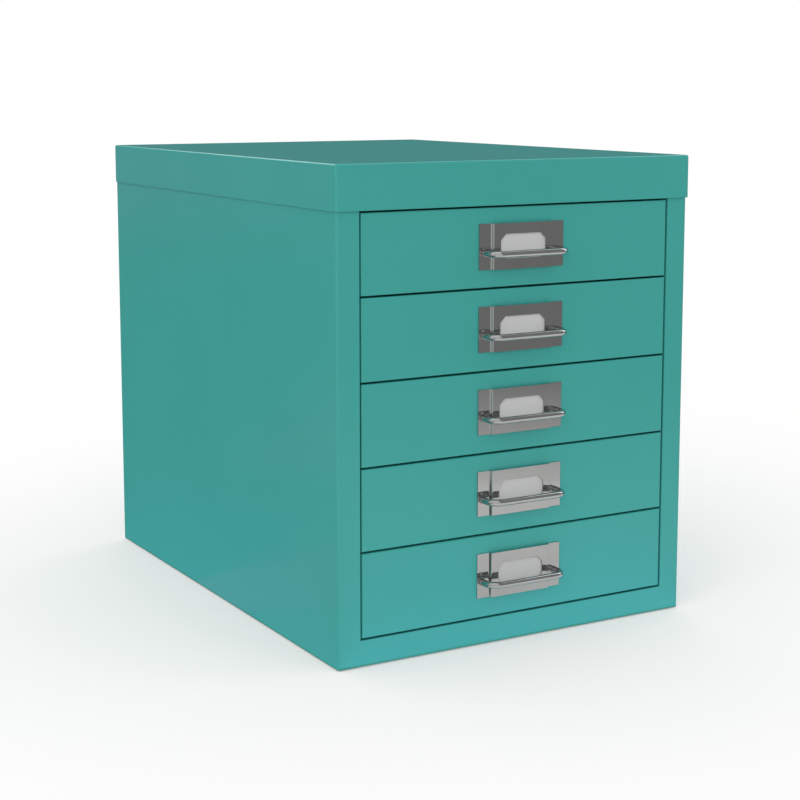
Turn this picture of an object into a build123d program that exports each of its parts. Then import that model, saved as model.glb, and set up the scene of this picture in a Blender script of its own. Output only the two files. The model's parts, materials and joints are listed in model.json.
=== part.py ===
"""Five-drawer steel desktop cabinet for A4 papers, as an assembly of folded sheet pieces.

Millimetres, +Z up, drawers open towards -Y. The origin is the middle of the floor under the whole
cabinet, its wire pulls included.
"""

import os

from build123d import *

# Overall size, over the lid
cabinet_width = 278.0
cabinet_depth = 380.0
cabinet_height = 325.0
drawer_count = 5

# Lid pan
lid_sheet = 0.9
lid_skirt = 29.5
lid_side_fit = 0.1
lid_front_fit = 0.4
lid_bend = 1.5

# Folded side panels, back and base
body_sheet = 1.0
body_bend = 1.5
stile_width = 16.3
stile_return = 12.0
rear_flange = 15.0
base_rise = 6.0
foot_drop = 0.8
foot_diameter = 14.0
foot_inset = 24.0

# Front rails, as channels between the stile returns
bottom_rail_height = 17.2
header_setback = 1.0

# Drawer fronts: heights are shares of the opening that is left between the gaps, top drawer first
front_gap = 1.3
front_sheet = 0.9
front_depth = 12.0
front_bend = 0.8
front_height_shares = (0.1947, 0.1993, 0.1993, 0.1993, 0.2074)

# Drawer trays, which hang by their side flanges
tray_sheet = 0.8
tray_side_gap = 2.2
tray_flange = 7.5
tray_floor_lift = 2.5
tray_top_drop = 8.0
skin_margin = 0.5
lug_height = 5.0
lug_length = 6.0
lug_set_back = 86.0

# Runner channels on the side walls
runner_sheet = 1.0
runner_height = 7.0
runner_clearance = 0.3
runner_lip_gap = 1.0
runner_front_gap = 0.5
runner_back_gap = 2.0
stop_tab_height = 3.0

# Rubber buffers on the back panel
buffer_diameter = 10.0
buffer_length = 6.0
buffer_clearance = 0.3
buffer_spread_share = 0.5

# Label holder pressing, and the card in its pocket
holder_width = 66.4
holder_height = 30.3
holder_sheet = 0.7
holder_raise = 2.8
holder_flange = 9.0
holder_step_slant = 1.0
holder_step_bend = 0.7
holder_rise = 0.7
window_side_margin = 5.45
window_end_margin = 7.0
window_chamfer = 4.0
card_sheet = 0.3
card_clearance = 0.25
card_side_gap = 0.5
card_top_gap = 2.0

# Wire pull, with its ends through the holder and the front
wire_diameter = 4.6
wire_edge_inset = 3.8
wire_reach = 13.2
wire_drop = 4.15
wire_corner = 8.0
wire_tail = 6.0
wire_hole_clearance = 0.15
clip_diameter = 10.0
clip_sheet = 0.8
clip_bore_clearance = 0.05

# How far a cut runs past what it cuts
cut_overrun = 2.0

# Widths that follow from the lid
lid_half = cabinet_width / 2
body_half = lid_half - lid_sheet - lid_side_fit
inner_half = body_half - body_sheet
opening_half = body_half - stile_width
front_half = opening_half - front_gap
flange_half = opening_half - tray_side_gap
tray_half = flange_half - tray_flange
tray_width = 2 * tray_half

# Widths that follow from the label holder
holder_raised_width = holder_width - 2 * (holder_flange + holder_step_slant)
window_width = holder_raised_width - 2 * window_side_margin
window_height = holder_height - 2 * window_end_margin
wire_half_spread = holder_width / 2 - wire_edge_inset

# Depths, counted from the front face of the drawers and stiles
handle_reach = wire_reach + wire_diameter / 2
lid_front_overhang = lid_sheet + lid_front_fit
lid_back_overhang = lid_sheet + lid_side_fit
body_depth = cabinet_depth - lid_front_overhang - lid_back_overhang
overall_depth = handle_reach + cabinet_depth - lid_front_overhang
face_y = handle_reach - overall_depth / 2
back_y = face_y + body_depth
back_panel_y = back_y - 2 * body_sheet
skin_y = face_y + front_depth
tray_back_y = back_panel_y - buffer_length - buffer_clearance
runner_y = skin_y + tray_sheet + runner_front_gap
runner_length = back_panel_y - runner_back_gap - runner_y
lug_y = tray_back_y - lug_set_back

# Heights
shell_bottom = foot_drop
lid_underside = cabinet_height - lid_sheet
skirt_bottom = cabinet_height - lid_skirt
rail_top = shell_bottom + bottom_rail_height
header_bottom = skirt_bottom + header_setback
shell_height = lid_underside - shell_bottom
fronts_total = skirt_bottom - rail_top - (drawer_count + 1) * front_gap


def front_span(number):
    """Bottom and top height of a drawer front, counted from the top drawer."""
    above = sum(front_height_shares[: number - 1]) * fronts_total
    top = skirt_bottom - number * front_gap - above
    return top - front_height_shares[number - 1] * fronts_total, top


def holder_middle(number):
    """Height of the middle of a drawer's label holder."""
    bottom, top = front_span(number)
    return (bottom + top) / 2 + holder_rise


def wire_height(number):
    """Height of a drawer's wire pull, which lies level."""
    return holder_middle(number) - wire_drop


def wall_facing(y):
    """Upright plane at a depth y, drawn with X to the right and Z up."""
    return Plane.XZ.offset(-y)


def save(part, name):
    """Label a finished piece and write it under its own name."""
    part.label = name
    export_step(part, f"parts/{name}.step")


os.makedirs("parts", exist_ok=True)

# Left side panel: wall, stile, stile return and rear flange, folded from one sheet
with BuildPart() as left_side_panel:
    with BuildSketch(Plane.XY.offset(shell_bottom)):
        with Locations((-body_half, face_y)):
            Rectangle(body_sheet, body_depth, align=(Align.MIN, Align.MIN))
            Rectangle(stile_width, body_sheet, align=(Align.MIN, Align.MIN))
        with Locations((-opening_half, face_y)):
            Rectangle(body_sheet, stile_return, align=(Align.MAX, Align.MIN))
        with Locations((-body_half, back_y)):
            Rectangle(rear_flange, body_sheet, align=(Align.MIN, Align.MAX))
    extrude(amount=shell_height)
    stile_face = left_side_panel.faces().filter_by(Axis.Y).sort_by(Axis.Y)[0]
    fillet(stile_face.edges().filter_by(Axis.Z).sort_by(Axis.X)[0], radius=body_bend)
save(left_side_panel.part, "left_side_panel")

with BuildPart() as right_side_panel:
    add(left_side_panel.part.mirror(Plane.YZ))
save(right_side_panel.part, "right_side_panel")

# Back panel, against the inner side of the rear flanges
with BuildPart() as back_panel:
    with BuildSketch(Plane.XY.offset(shell_bottom)):
        with Locations((0, back_panel_y)):
            Rectangle(2 * inner_half, body_sheet, align=(Align.CENTER, Align.MIN))
    extrude(amount=shell_height)
save(back_panel.part, "back_panel")

# Lid: a pan that drops over the shell
with BuildPart() as lid:
    with BuildSketch(Plane.XY.offset(skirt_bottom)):
        with Locations((0, face_y - lid_front_overhang)):
            Rectangle(cabinet_width, cabinet_depth, align=(Align.CENTER, Align.MIN))
    extrude(amount=lid_skirt)
    fillet(lid.edges().filter_by(Axis.Z) + lid.faces().sort_by(Axis.Z)[-1].edges(), radius=lid_bend)
    with BuildSketch(Plane.XY.offset(lid_underside)):
        with Locations((0, face_y - lid_front_fit)):
            Rectangle(
                2 * (lid_half - lid_sheet), cabinet_depth - 2 * lid_sheet, align=(Align.CENTER, Align.MIN)
            )
    extrude(amount=-lid_skirt - cut_overrun, mode=Mode.SUBTRACT)
save(lid.part, "lid")


def front_rail(bottom, top):
    """Channel between the stiles, open to the back, with its web flush with the drawer fronts."""
    with BuildPart() as rail:
        with BuildSketch(Plane.XY.offset(bottom)):
            with Locations((0, face_y)):
                Rectangle(2 * opening_half, stile_return, align=(Align.CENTER, Align.MIN))
        extrude(amount=top - bottom)
        with BuildSketch(Plane.XY.offset(bottom + body_sheet)):
            with Locations((0, face_y + body_sheet)):
                Rectangle(2 * opening_half, stile_return, align=(Align.CENTER, Align.MIN))
        extrude(amount=top - bottom - 2 * body_sheet, mode=Mode.SUBTRACT)
    return rail.part


# Rails below the bottom drawer and behind the lid's front skirt
save(front_rail(shell_bottom, rail_top), "bottom_front_rail")
save(front_rail(header_bottom, lid_underside), "top_front_rail")

# Base: a shallow pan, open downwards, between the walls, the front rail and the back
base_y = face_y + stile_return
base_depth = back_panel_y - base_y
with BuildPart() as base_pan:
    with BuildSketch(Plane.XY.offset(shell_bottom)):
        with Locations((0, base_y)):
            Rectangle(2 * inner_half, base_depth, align=(Align.CENTER, Align.MIN))
    extrude(amount=base_rise)
    with BuildSketch(Plane.XY.offset(shell_bottom + base_rise - body_sheet)):
        with Locations((0, base_y + body_sheet)):
            Rectangle(
                2 * (inner_half - body_sheet), base_depth - 2 * body_sheet, align=(Align.CENTER, Align.MIN)
            )
    extrude(amount=-base_rise - cut_overrun, mode=Mode.SUBTRACT)
save(base_pan.part, "base_pan")

# Four pads under the base, standing just proud of the shell's lower edge
foot_top = shell_bottom + base_rise - body_sheet
with BuildPart() as foot_pads:
    with BuildSketch(Plane.XY):
        with Locations((0, base_y + base_depth / 2)):
            with GridLocations(2 * (inner_half - foot_inset), base_depth - 2 * foot_inset, 2, 2):
                Circle(foot_diameter / 2)
    extrude(amount=foot_top)
save(foot_pads.part, "foot_pads")


def tray_span(number):
    """Height of a tray's floor and of its flanges' upper face."""
    bottom, top = front_span(number)
    return bottom + tray_floor_lift, top - tray_top_drop


def left_runner(number):
    """Channel along the left wall that carries a tray's flange, with a stop tab across its mouth."""
    seat = tray_span(number)[1] - tray_sheet - runner_clearance
    lip_half = tray_half + runner_lip_gap
    outer_height = runner_height + 2 * runner_sheet
    with BuildPart() as runner:
        with BuildSketch(wall_facing(runner_y)):
            with Locations((-inner_half, seat - runner_sheet)):
                Rectangle(inner_half - lip_half, outer_height, align=(Align.MIN, Align.MIN))
        extrude(amount=-runner_length)
        with BuildSketch(wall_facing(runner_y)):
            with Locations((-inner_half + runner_sheet, seat)):
                Rectangle(inner_half - lip_half, runner_height, align=(Align.MIN, Align.MIN))
        extrude(amount=-runner_length, mode=Mode.SUBTRACT)
        with BuildSketch(wall_facing(runner_y)):
            with Locations((-inner_half, seat + runner_height)):
                Rectangle(inner_half - lip_half, stop_tab_height, align=(Align.MIN, Align.MAX))
        extrude(amount=-runner_sheet)
    return runner.part


def drawer_tray(number):
    """Open tray with a front skin, side flanges that hang in the runners, and stop lugs on them."""
    floor, top = tray_span(number)
    bottom, front_top = front_span(number)
    with BuildPart() as tray:
        with BuildSketch(Plane.XY.offset(floor)):
            with Locations((0, skin_y)):
                Rectangle(tray_width, tray_back_y - skin_y, align=(Align.CENTER, Align.MIN))
        extrude(amount=top - floor)
        with BuildSketch(Plane.XY.offset(floor + tray_sheet)):
            with Locations((0, skin_y + tray_sheet)):
                Rectangle(
                    tray_width - 2 * tray_sheet,
                    tray_back_y - skin_y - 2 * tray_sheet,
                    align=(Align.CENTER, Align.MIN),
                )
        extrude(amount=top - floor, mode=Mode.SUBTRACT)
        with BuildSketch(wall_facing(skin_y)):
            with Locations((0, (bottom + front_top) / 2)):
                Rectangle(2 * (front_half - skin_margin), front_top - bottom - 2 * skin_margin)
        extrude(amount=-tray_sheet)
        with BuildSketch(Plane.XY.offset(top)):
            with Locations((-flange_half, skin_y)):
                Rectangle(tray_flange, tray_back_y - skin_y, align=(Align.MIN, Align.MIN))
            mirror(about=Plane.YZ)
        extrude(amount=-tray_sheet)
        with BuildSketch(Plane.XY.offset(top)):
            with Locations((-flange_half, lug_y)):
                Rectangle(tray_sheet, lug_length, align=(Align.MIN, Align.MIN))
            mirror(about=Plane.YZ)
        extrude(amount=lug_height)
    return tray.part


def drawer_front(number):
    """Folded pan, open to the back, with two holes for the wire's ends."""
    bottom, top = front_span(number)
    middle = (bottom + top) / 2
    hole = wire_height(number)
    with BuildPart() as front:
        with BuildSketch(wall_facing(face_y)):
            with Locations((0, middle)):
                Rectangle(2 * front_half, top - bottom)
        extrude(amount=-front_depth)
        fillet(front.faces().sort_by(Axis.Y)[0].edges(), radius=front_bend)
        with BuildSketch(wall_facing(face_y + front_sheet)):
            with Locations((0, middle)):
                Rectangle(2 * (front_half - front_sheet), top - bottom - 2 * front_sheet)
        extrude(amount=-front_depth, mode=Mode.SUBTRACT)
        with BuildSketch(wall_facing(face_y - cut_overrun)):
            with Locations((-wire_half_spread, hole), (wire_half_spread, hole)):
                Circle(wire_diameter / 2 + wire_hole_clearance)
        extrude(amount=-front_sheet - 2 * cut_overrun, mode=Mode.SUBTRACT)
    return front.part


def label_holder(number):
    """Pressing with two flanges, a raised middle with an eight-sided window, and a lip under the card."""
    middle = holder_middle(number)
    hole = wire_height(number)
    raised_half = holder_raised_width / 2
    foot_half = raised_half + holder_step_slant
    pocket_y = face_y - holder_raise + holder_sheet
    with BuildPart() as holder:
        with BuildSketch(Plane.XY.offset(middle - holder_height / 2)) as section:
            with BuildLine():
                Polyline(
                    (-holder_width / 2, face_y),
                    (-holder_width / 2, face_y - holder_sheet),
                    (-foot_half, face_y - holder_sheet),
                    (-raised_half, face_y - holder_raise),
                    (raised_half, face_y - holder_raise),
                    (foot_half, face_y - holder_sheet),
                    (holder_width / 2, face_y - holder_sheet),
                    (holder_width / 2, face_y),
                    close=True,
                )
            make_face()
            bends = section.vertices().sort_by(Axis.X)
            fillet(bends[2:-2], radius=holder_step_bend)
        extrude(amount=holder_height)
        with BuildSketch(Plane.XY.offset(middle - holder_height / 2 + holder_sheet)):
            with BuildLine():
                Polyline(
                    (-foot_half + holder_sheet, face_y),
                    (-raised_half + holder_sheet, pocket_y),
                    (raised_half - holder_sheet, pocket_y),
                    (foot_half - holder_sheet, face_y),
                    close=True,
                )
            make_face()
        extrude(amount=holder_height, mode=Mode.SUBTRACT)
        with BuildSketch(wall_facing(pocket_y)) as window:
            with Locations((0, middle)):
                Rectangle(window_width, window_height)
            chamfer(window.vertices(), length=window_chamfer)
        extrude(amount=holder_sheet + cut_overrun, mode=Mode.SUBTRACT)
        with BuildSketch(wall_facing(face_y)):
            with Locations((-wire_half_spread, hole), (wire_half_spread, hole)):
                Circle(wire_diameter / 2 + wire_hole_clearance)
        extrude(amount=holder_sheet + cut_overrun, mode=Mode.SUBTRACT)
    return holder.part


def label_card(number):
    """Plain card that stands on the holder's lip, just behind its window."""
    lip = holder_middle(number) - holder_height / 2 + holder_sheet
    card_y = face_y - holder_raise + holder_sheet + card_clearance
    with BuildPart() as card:
        with BuildSketch(Plane.XY.offset(lip + card_clearance)):
            with Locations((0, card_y)):
                Rectangle(
                    holder_raised_width - 2 * (holder_sheet + card_side_gap),
                    card_sheet,
                    align=(Align.CENTER, Align.MIN),
                )
        extrude(amount=holder_height - holder_sheet - card_clearance - card_top_gap)
    return card.part


def wire_handle(number):
    """Round wire bent to a level loop, with straight tails through the front."""
    height = wire_height(number)
    tail_y = face_y + wire_tail
    bar_y = face_y - wire_reach
    with BuildPart() as handle:
        with BuildLine() as route:
            FilletPolyline(
                (-wire_half_spread, tail_y, height),
                (-wire_half_spread, bar_y, height),
                (wire_half_spread, bar_y, height),
                (wire_half_spread, tail_y, height),
                radius=wire_corner,
            )
        with BuildSketch(Plane(origin=route.line @ 0, z_dir=route.line % 0)):
            Circle(wire_diameter / 2)
        sweep()
    return handle.part


def handle_clips(number):
    """Two push-on clips on the wire's tails, against the inner side of the front."""
    height = wire_height(number)
    with BuildPart() as clips:
        with BuildSketch(wall_facing(face_y + front_sheet)):
            with Locations((-wire_half_spread, height), (wire_half_spread, height)):
                Circle(clip_diameter / 2)
                Circle(wire_diameter / 2 + clip_bore_clearance, mode=Mode.SUBTRACT)
        extrude(amount=-clip_sheet)
    return clips.part


for drawer in range(1, drawer_count + 1):
    runner = left_runner(drawer)
    save(runner, f"left_runner_{drawer}")
    save(runner.mirror(Plane.YZ), f"right_runner_{drawer}")
    save(drawer_tray(drawer), f"drawer_tray_{drawer}")
    save(drawer_front(drawer), f"drawer_front_{drawer}")
    save(label_holder(drawer), f"label_holder_{drawer}")
    save(label_card(drawer), f"label_card_{drawer}")
    save(wire_handle(drawer), f"wire_handle_{drawer}")
    save(handle_clips(drawer), f"handle_clips_{drawer}")

# Rubber buffers on the back panel, two behind each tray
with BuildPart() as rear_buffers:
    with BuildSketch(wall_facing(back_panel_y)):
        for drawer in range(1, drawer_count + 1):
            with Locations((0, sum(tray_span(drawer)) / 2)):
                with GridLocations(buffer_spread_share * tray_width, 0, 2, 1):
                    Circle(buffer_diameter / 2)
    extrude(amount=buffer_length)
save(rear_buffers.part, "rear_buffers")
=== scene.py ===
"""Studio scene of the five-drawer steel cabinet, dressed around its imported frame. Metres, +Z up."""
import json
import math

import bpy
from mathutils import Euler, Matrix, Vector


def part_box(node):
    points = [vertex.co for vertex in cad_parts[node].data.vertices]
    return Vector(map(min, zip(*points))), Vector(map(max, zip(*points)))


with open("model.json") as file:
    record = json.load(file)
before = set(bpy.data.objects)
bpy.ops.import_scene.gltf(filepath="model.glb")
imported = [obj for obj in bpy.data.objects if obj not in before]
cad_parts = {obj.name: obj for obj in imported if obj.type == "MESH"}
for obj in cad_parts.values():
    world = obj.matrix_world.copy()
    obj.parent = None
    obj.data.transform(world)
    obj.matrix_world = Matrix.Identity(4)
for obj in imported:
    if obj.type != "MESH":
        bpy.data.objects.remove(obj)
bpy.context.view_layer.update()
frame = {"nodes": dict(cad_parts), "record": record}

# Camera, fitted to the cabinet's edges in the photograph
CAMERA_PLACE = Vector((-0.6333, -1.1201, 0.3747))
CAMERA_YAW = math.radians(29.96)
CAMERA_PITCH = math.radians(7.869)
CAMERA_LENS_MM = 77.3
CAMERA_SENSOR_MM = 36.0
CAMERA_SHIFT_Y = -0.10

# Colours, linear
WHITE = (1.0, 1.0, 1.0, 1.0)
BLACK = (0.0, 0.0, 0.0, 1.0)
COOL = (0.45, 0.97, 1.03, 1.0)
VIOLET = (1.0, 0.40, 0.95, 1.0)
SEA_GREEN = (0.044, 0.309, 0.273, 1.0)
SEA_GREEN_LIGHT = (0.048, 0.321, 0.285, 1.0)
NICKEL = (0.42, 0.42, 0.415, 1.0)
NICKEL_DULL = (0.395, 0.395, 0.39, 1.0)
CHROME = (0.46, 0.46, 0.465, 1.0)
CHROME_DULL = (0.44, 0.44, 0.445, 1.0)
ZINC = (0.56, 0.57, 0.58, 1.0)
ZINC_DARK = (0.42, 0.43, 0.45, 1.0)
PAPER_WHITE = (0.55, 0.53, 0.52, 1.0)
PAPER_SHADE = (0.525, 0.505, 0.495, 1.0)
RUBBER = (0.022, 0.022, 0.022, 1.0)
RUBBER_WORN = (0.045, 0.044, 0.042, 1.0)

# Sky, as light on the cabinet and as it is seen
SKY_LOW = (0.97, 0.97, 0.97, 1.0)
SKY_HIGH = (0.76, 0.96, 1.04, 1.0)
SKY_SEEN = 1.0
KEY_TOWARDS = Vector((-0.72, -0.62, 0.30)).normalized()
KEY_LEVEL = 1.2
KEY_TIGHTNESS = 6.0

# Floor
FLOOR_HALF = 40.0
FLOOR_COLOUR = (0.885, 0.765, 0.725, 1.0)
FLOOR_ROUGHNESS = 0.9
FLOOR_LIFT = 0.20

# Light that comes back off the floor close to the cabinet, on paint alone, in watts a square metre
BOUNCE_DEPTH = 0.09
BOUNCE_HEIGHT = 0.002
BOUNCE_COLOUR = (0.55, 0.66, 1.0)
BOUNCE_FRONT_LEVEL = 3.0
BOUNCE_SIDE_LEVEL = 2.0
PAINT_SLOTS = ("carcass_paint", "drawer_paint")

# Patterns have about as many grains to a metre as their scale, and may be stretched along the axes
PLAIN_DETAIL = 2.0
TINT_STOPS = (0.3, 0.7)
PRESS_LINES = {"scale": 1.0, "detail": 6.0, "stretch": (300.0, 300.0, 9000.0)}
PAPER_FIBRES = {"scale": 1.0, "detail": 6.0, "stretch": (900.0, 900.0, 2200.0)}
METAL = {"Metallic": 1.0}

# Semi-gloss sea-green powder coat with a fine orange peel
POWDER_COAT = {
    "tints": (SEA_GREEN, SEA_GREEN_LIGHT), "tint_pattern": {"scale": 9.0, "detail": 4.0},
    "roughness": (0.20, 0.22), "roughness_pattern": {"scale": 25.0},
    "relief_pattern": {"scale": 900.0}, "relief_strength": 0.05, "relief_depth": 0.00004,
    "sockets": {"Specular IOR Level": 0.25},
}

# Bright nickel on pressed sheet, with faint drawing lines from the press
NICKEL_PLATE = {
    "tints": (NICKEL, NICKEL_DULL), "tint_pattern": {"scale": 40.0, "detail": 3.0},
    "roughness": (0.04, 0.08), "roughness_pattern": PRESS_LINES,
    "relief_pattern": PRESS_LINES, "relief_strength": 0.05, "relief_depth": 0.00002,
    "sockets": METAL,
}

# Mirror chrome on bent wire
POLISHED_CHROME = {
    "tints": (CHROME, CHROME_DULL), "tint_pattern": {"scale": 200.0, "detail": 3.0},
    "roughness": (0.03, 0.06), "roughness_pattern": {"scale": 500.0, "detail": 4.0},
    "relief_pattern": {"scale": 700.0}, "relief_strength": 0.04, "relief_depth": 0.00003,
    "sockets": METAL,
}

# Zinc-plated sheet with a soft spangle
ZINC_SHEET = {
    "tints": (ZINC_DARK, ZINC), "tint_pattern": {"scale": 180.0, "crazed": True},
    "roughness": (0.28, 0.45), "roughness_pattern": {"scale": 120.0, "detail": 5.0},
    "relief_pattern": {"scale": 1200.0}, "relief_strength": 0.05, "relief_depth": 0.00003,
    "sockets": METAL,
}

# Plain matt card with paper fibres
LABEL_CARD = {
    "tints": (PAPER_SHADE, PAPER_WHITE), "tint_pattern": PAPER_FIBRES,
    "roughness": (0.80, 0.92), "roughness_pattern": PAPER_FIBRES,
    "relief_pattern": PAPER_FIBRES, "relief_strength": 0.12, "relief_depth": 0.00005,
    "sockets": {},
}

# Matt black rubber, dusty where it rubs
MOULDED_RUBBER = {
    "tints": (RUBBER, RUBBER_WORN), "tint_pattern": {"scale": 250.0, "detail": 5.0},
    "roughness": (0.70, 0.88), "roughness_pattern": {"scale": 400.0, "detail": 4.0},
    "relief_pattern": {"scale": 1500.0}, "relief_strength": 0.2, "relief_depth": 0.00008,
    "sockets": {},
}

# The finish of each slot in the record
FINISHES = {
    "carcass_paint": {"name": "carcass_powder_coat", **POWDER_COAT},
    "drawer_paint": {"name": "drawer_powder_coat", **POWDER_COAT},
    "holder_plate": {"name": "nickel_plate", **NICKEL_PLATE},
    "handle_chrome": {"name": "polished_chrome", **POLISHED_CHROME},
    "zinc_plate": {"name": "zinc_sheet", **ZINC_SHEET},
    "card": {"name": "label_card", **LABEL_CARD},
    "rubber": {"name": "moulded_rubber", **MOULDED_RUBBER},
}

# Reflector cards stand or lie round the cabinet, at these radii
CARD_STEP = 5
LEFT_RADIUS = 0.55
RIGHT_RADIUS = 0.62
FAR_RADIUS = 3.0
MAT_INSIDE = 0.10
MAT_MIDDLE = 0.50
MAT_HEIGHT = 0.0005
LEFT_TOP = 0.60
RIGHT_SHADE_TOP = 2.4
RIGHT_LIGHT_HEIGHTS = (0.30, 0.97)
CORNER_TOP = 0.25
FAR_SHADE_TOP = 1.45
FAR_LIGHT_TOP = 2.30


def wall(radius, low, high):
    """Profile of a card that stands."""
    return (radius, low), (radius, high)


def mat(inside, outside):
    """Profile of a card that lies on the floor."""
    return (inside, MAT_HEIGHT), (outside, MAT_HEIGHT)


# Only reflections see the cards. Turns run from the front towards the right, in degrees. A card glows at
# one level, or at two levels with a fade between two heights.
CARDS = {
    "right_shade": {"turns": (-5, 60), "profile": wall(RIGHT_RADIUS, 0.0, RIGHT_SHADE_TOP),
                    "level": (0.90, 0.30), "fade": (0.0, 0.11)},
    "left_light": {"turns": (-70, -5), "profile": wall(LEFT_RADIUS, 0.0, LEFT_TOP), "level": 0.75},
    "left_shade": {"turns": (-110, -70), "profile": wall(LEFT_RADIUS, 0.0, LEFT_TOP),
                   "level": (0.10, 0.25), "fade": (0.03, 0.06)},
    "left_mat": {"turns": (-110, -75), "profile": mat(MAT_INSIDE, LEFT_RADIUS),
                 "level": 0.30, "colour": VIOLET},
    "front_mat": {"turns": (-75, -35), "profile": mat(MAT_INSIDE, LEFT_RADIUS), "level": 0.17},
    "right_light": {"turns": (60, 110), "profile": wall(RIGHT_RADIUS, *RIGHT_LIGHT_HEIGHTS), "level": 2.0},
    "near_mat": {"turns": (75, 250), "profile": mat(MAT_INSIDE, MAT_MIDDLE), "level": 0.17, "colour": COOL},
    "back_mat": {"turns": (75, 220), "profile": mat(MAT_MIDDLE, FAR_RADIUS), "level": 0.17, "colour": COOL},
    "back_shade": {"turns": (75, 190), "profile": wall(FAR_RADIUS, 0.0, FAR_SHADE_TOP),
                   "level": (0.25, 0.11), "fade": (0.10, 0.60), "colour": COOL},
    "corner_mat": {"turns": (220, 250), "profile": mat(MAT_MIDDLE, FAR_RADIUS),
                   "level": 0.30, "colour": VIOLET},
    "corner_shade": {"turns": (190, 250), "profile": wall(FAR_RADIUS, 0.0, CORNER_TOP),
                     "level": (0.10, 0.32), "fade": (0.0, 0.15), "colour": VIOLET},
    "high_shade": {"turns": (190, 250), "profile": wall(FAR_RADIUS, CORNER_TOP, FAR_SHADE_TOP),
                   "level": 0.11, "colour": COOL},
    "back_light": {"turns": (165, 200), "profile": wall(FAR_RADIUS, FAR_SHADE_TOP, FAR_LIGHT_TOP),
                   "level": 2.6},
}


class Surface:
    """A new material with its principled shader, and short ways to add texture nodes to it."""

    def __init__(self, name):
        self.material = bpy.data.materials.new(name)
        self.material.use_nodes = True
        self.nodes = self.material.node_tree.nodes
        self.links = self.material.node_tree.links
        self.shader = self.nodes["Principled BSDF"]
        self.place = self.nodes.new("ShaderNodeTexCoord").outputs["Object"]

    def stretched(self, scale):
        """Coordinates that are scaled apart along the three axes."""
        mapping = self.nodes.new("ShaderNodeMapping")
        mapping.inputs["Scale"].default_value = scale
        self.links.new(self.place, mapping.inputs["Vector"])
        return mapping.outputs["Vector"]

    def pattern(self, scale, detail=PLAIN_DETAIL, stretch=None, crazed=False):
        """Grey that wanders, or a random colour for each crazed cell."""
        node = self.nodes.new("ShaderNodeTexVoronoi" if crazed else "ShaderNodeTexNoise")
        node.inputs["Scale"].default_value = scale
        self.links.new(self.stretched(stretch) if stretch else self.place, node.inputs["Vector"])
        if crazed:
            return node.outputs["Color"]
        node.inputs["Detail"].default_value = detail
        return node.outputs["Fac"]

    def tint(self, factor, tints):
        """Base colour that wanders between two tints."""
        ramp = self.nodes.new("ShaderNodeValToRGB")
        for stop, position, tint in zip(ramp.color_ramp.elements, TINT_STOPS, tints):
            stop.position = position
            stop.color = tint
        self.links.new(factor, ramp.inputs["Fac"])
        self.links.new(ramp.outputs["Color"], self.shader.inputs["Base Color"])

    def roughness(self, factor, ends):
        """Roughness that wanders between two values."""
        span = self.nodes.new("ShaderNodeMapRange")
        span.inputs["To Min"].default_value, span.inputs["To Max"].default_value = ends
        self.links.new(factor, span.inputs["Value"])
        self.links.new(span.outputs["Result"], self.shader.inputs["Roughness"])

    def relief(self, height, strength, depth):
        """Relief of a real depth in metres."""
        node = self.nodes.new("ShaderNodeBump")
        node.inputs["Strength"].default_value = strength
        node.inputs["Distance"].default_value = depth
        self.links.new(height, node.inputs["Height"])
        self.links.new(node.outputs["Normal"], self.shader.inputs["Normal"])


def make_finish(name, tints, tint_pattern, roughness, roughness_pattern, relief_pattern, relief_strength,
                relief_depth, sockets):
    """Material whose colour, roughness and relief follow their own patterns."""
    surface = Surface(name)
    surface.tint(surface.pattern(**tint_pattern), tints)
    surface.roughness(surface.pattern(**roughness_pattern), roughness)
    surface.relief(surface.pattern(**relief_pattern), relief_strength, relief_depth)
    for socket, value in sockets.items():
        surface.shader.inputs[socket].default_value = value
    return surface.material


def dress_nodes():
    """Give each frame node the finish of its slot in the record."""
    materials = {slot: make_finish(**finish) for slot, finish in FINISHES.items()}
    for part in frame["record"]["subparts"]:
        node = frame["nodes"][part["node"]]
        node.data.materials.clear()
        node.data.materials.append(materials[part["material_slot"]])


def add_stage_mesh(name, points, faces, paint):
    """A mesh of the set, which isn't part of the cabinet."""
    mesh = bpy.data.meshes.new(name)
    mesh.from_pydata(points, [], faces)
    mesh.materials.append(paint.material)
    piece = bpy.data.objects.new(name, mesh)
    bpy.context.scene.collection.objects.link(piece)
    return piece


def math_node(tree, operation, first, second):
    """The result of an operation on a socket, and on another socket or a number."""
    node = tree.nodes.new("ShaderNodeMath")
    node.operation = operation
    tree.links.new(first, node.inputs[0])
    if isinstance(second, float):
        node.inputs[1].default_value = second
    else:
        tree.links.new(second, node.inputs[1])
    return node.outputs["Value"]


def seen_ray(tree):
    """One where the camera, metal or glass looks, and zero where light falls."""
    path = tree.nodes.new("ShaderNodeLightPath")
    direct = math_node(tree, "MAXIMUM", path.outputs["Is Camera Ray"], path.outputs["Is Glossy Ray"])
    return math_node(tree, "MAXIMUM", direct, path.outputs["Is Transmission Ray"])


def make_floor():
    """Pale floor that runs on to the horizon, whitened only where it is seen."""
    paint = Surface("floor_paint")
    paint.shader.inputs["Base Color"].default_value = FLOOR_COLOUR
    paint.shader.inputs["Roughness"].default_value = FLOOR_ROUGHNESS
    paint.shader.inputs["Specular IOR Level"].default_value = 0.0
    paint.shader.inputs["Emission Color"].default_value = WHITE
    tree = paint.material.node_tree
    lift = math_node(tree, "MULTIPLY", seen_ray(tree), FLOOR_LIFT)
    tree.links.new(lift, paint.shader.inputs["Emission Strength"])
    corners = [(x * FLOOR_HALF, y * FLOOR_HALF, 0) for x, y in ((-1, -1), (1, -1), (1, 1), (-1, 1))]
    add_stage_mesh("floor", corners, [(0, 1, 2, 3)], paint)


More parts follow.
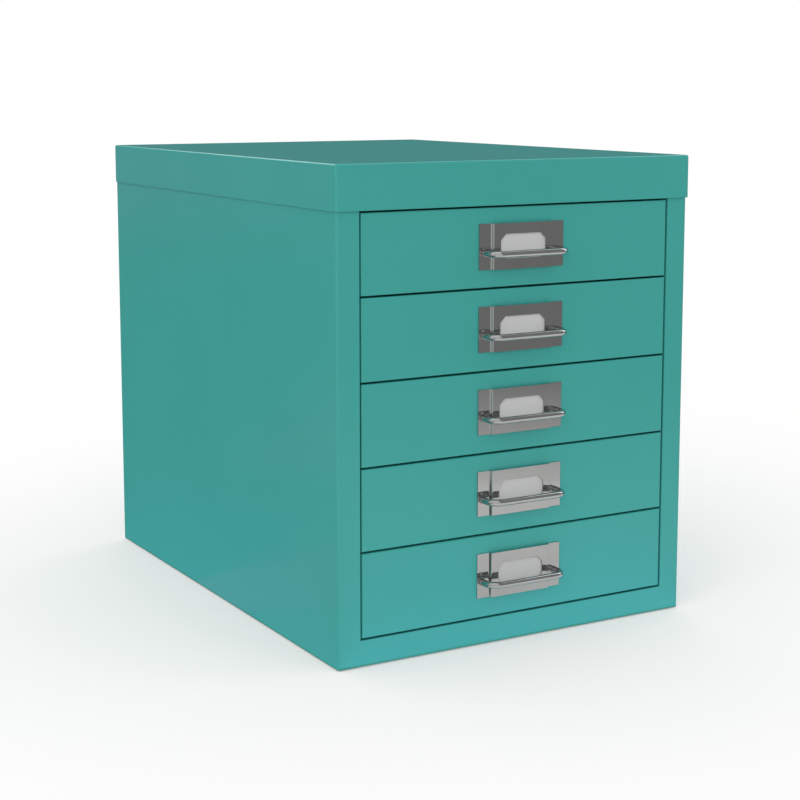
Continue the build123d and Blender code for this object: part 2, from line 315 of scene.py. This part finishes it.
def card_paint(name, colour, level, fade):
    """Plain glow at one level, or at two levels with a fade between two heights."""
    paint = Surface(name)
    paint.shader.inputs["Base Color"].default_value = BLACK
    paint.shader.inputs["Specular IOR Level"].default_value = 0.0
    paint.shader.inputs["Emission Color"].default_value = colour
    if fade is None:
        paint.shader.inputs["Emission Strength"].default_value = level
        return paint
    split = paint.nodes.new("ShaderNodeSeparateXYZ")
    change = paint.nodes.new("ShaderNodeMapRange")
    change.inputs["From Min"].default_value, change.inputs["From Max"].default_value = fade
    change.inputs["To Min"].default_value, change.inputs["To Max"].default_value = level
    paint.links.new(paint.place, split.inputs["Vector"])
    paint.links.new(split.outputs["Z"], change.inputs["Value"])
    paint.links.new(change.outputs["Result"], paint.shader.inputs["Emission Strength"])
    return paint


def make_card(name, turns, profile, level, fade=None, colour=WHITE):
    """Card with a profile that is turned round the cabinet, for glossy surfaces to reflect."""
    first, last = turns
    points = []
    for degrees in range(first, last + CARD_STEP, CARD_STEP):
        turn = math.radians(degrees)
        points += [(radius * math.sin(turn), -radius * math.cos(turn), height) for radius, height in profile]
    row = len(profile)
    faces = []
    for start in range(0, len(points) - row, row):
        faces += [(at, at + 1, at + row + 1, at + row) for at in range(start, start + row - 1)]
    card = add_stage_mesh(name, points, faces, card_paint(name, colour, level, fade))
    card.visible_camera = False
    card.visible_diffuse = False
    card.visible_shadow = False
    card.visible_transmission = False


def light_sky():
    """Soft sky with a broad key light low on the left, in front."""
    world = bpy.data.worlds.new("studio")
    world.use_nodes = True
    tree = world.node_tree
    ray = tree.nodes.new("ShaderNodeTexCoord").outputs["Generated"]
    split = tree.nodes.new("ShaderNodeSeparateXYZ")
    tree.links.new(ray, split.inputs["Vector"])
    ramp = tree.nodes.new("ShaderNodeValToRGB")
    ramp.color_ramp.elements[0].color = SKY_LOW
    ramp.color_ramp.elements[1].color = SKY_HIGH
    tree.links.new(split.outputs["Z"], ramp.inputs["Fac"])
    fill = tree.nodes["Background"]
    tree.links.new(ramp.outputs["Color"], fill.inputs["Color"])

    facing = tree.nodes.new("ShaderNodeVectorMath")
    facing.operation = "DOT_PRODUCT"
    facing.inputs[1].default_value = KEY_TOWARDS
    tree.links.new(ray, facing.inputs[0])
    ahead = math_node(tree, "MAXIMUM", facing.outputs["Value"], 0.0)
    lobe = math_node(tree, "POWER", ahead, KEY_TIGHTNESS)
    key = tree.nodes.new("ShaderNodeBackground")
    key.inputs["Color"].default_value = WHITE
    tree.links.new(math_node(tree, "MULTIPLY", lobe, KEY_LEVEL), key.inputs["Strength"])

    cast = tree.nodes.new("ShaderNodeAddShader")
    tree.links.new(fill.outputs["Background"], cast.inputs[0])
    tree.links.new(key.outputs["Background"], cast.inputs[1])
    seen = tree.nodes.new("ShaderNodeBackground")
    seen.inputs["Color"].default_value = WHITE
    seen.inputs["Strength"].default_value = SKY_SEEN
    choice = tree.nodes.new("ShaderNodeMixShader")
    tree.links.new(seen_ray(tree), choice.inputs["Fac"])
    tree.links.new(cast.outputs["Shader"], choice.inputs[1])
    tree.links.new(seen.outputs["Background"], choice.inputs[2])
    tree.links.new(choice.outputs["Shader"], tree.nodes["World Output"].inputs["Surface"])
    bpy.context.scene.world = world


def painted_nodes():
    """The frame nodes that have a coat of paint."""
    painted = bpy.data.collections.new("painted_nodes")
    for part in frame["record"]["subparts"]:
        if part["material_slot"] in PAINT_SLOTS:
            painted.objects.link(frame["nodes"][part["node"]])
    return painted


def add_bounce(name, middle, size, level, painted):
    """Flat lamp on the floor that faces up and lights the paint above it."""
    width, depth = size
    lamp = bpy.data.lights.new(name, "AREA")
    lamp.shape = "RECTANGLE"
    lamp.size, lamp.size_y = width, depth
    lamp.energy = level * width * depth
    lamp.color = BOUNCE_COLOUR
    holder = bpy.data.objects.new(name, lamp)
    holder.location = (*middle, BOUNCE_HEIGHT)
    holder.rotation_euler = (math.pi, 0.0, 0.0)
    holder.visible_camera = False
    holder.visible_glossy = False
    holder.light_linking.receiver_collection = painted
    bpy.context.scene.collection.objects.link(holder)


def light_floor():
    """Light off the floor on all four sides of the shell."""
    low = Vector((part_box("left_side_panel")[0].x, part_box("bottom_front_rail")[0].y))
    high = Vector((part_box("right_side_panel")[1].x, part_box("back_panel")[1].y))
    middle = (low + high) / 2
    size = high - low
    out = BOUNCE_DEPTH / 2
    painted = painted_nodes()
    for name, y in (("front_bounce", low.y - out), ("back_bounce", high.y + out)):
        add_bounce(name, (middle.x, y), (size.x, BOUNCE_DEPTH), BOUNCE_FRONT_LEVEL, painted)
    for name, x in (("left_bounce", low.x - out), ("right_bounce", high.x + out)):
        add_bounce(name, (x, middle.y), (BOUNCE_DEPTH, size.y), BOUNCE_SIDE_LEVEL, painted)


def place_camera():
    """Camera at the photograph's viewing angle."""
    lens = bpy.data.cameras.new("camera")
    lens.lens = CAMERA_LENS_MM
    lens.sensor_width = CAMERA_SENSOR_MM
    lens.shift_y = CAMERA_SHIFT_Y
    camera = bpy.data.objects.new("camera", lens)
    camera.location = CAMERA_PLACE
    camera.rotation_euler = Euler((math.pi / 2 - CAMERA_PITCH, 0.0, -CAMERA_YAW))
    bpy.context.scene.collection.objects.link(camera)
    bpy.context.scene.camera = camera


bpy.context.scene.view_settings.view_transform = "Standard"
dress_nodes()
make_floor()
for card, shape in CARDS.items():
    make_card(card, **shape)
light_sky()
light_floor()
place_camera()
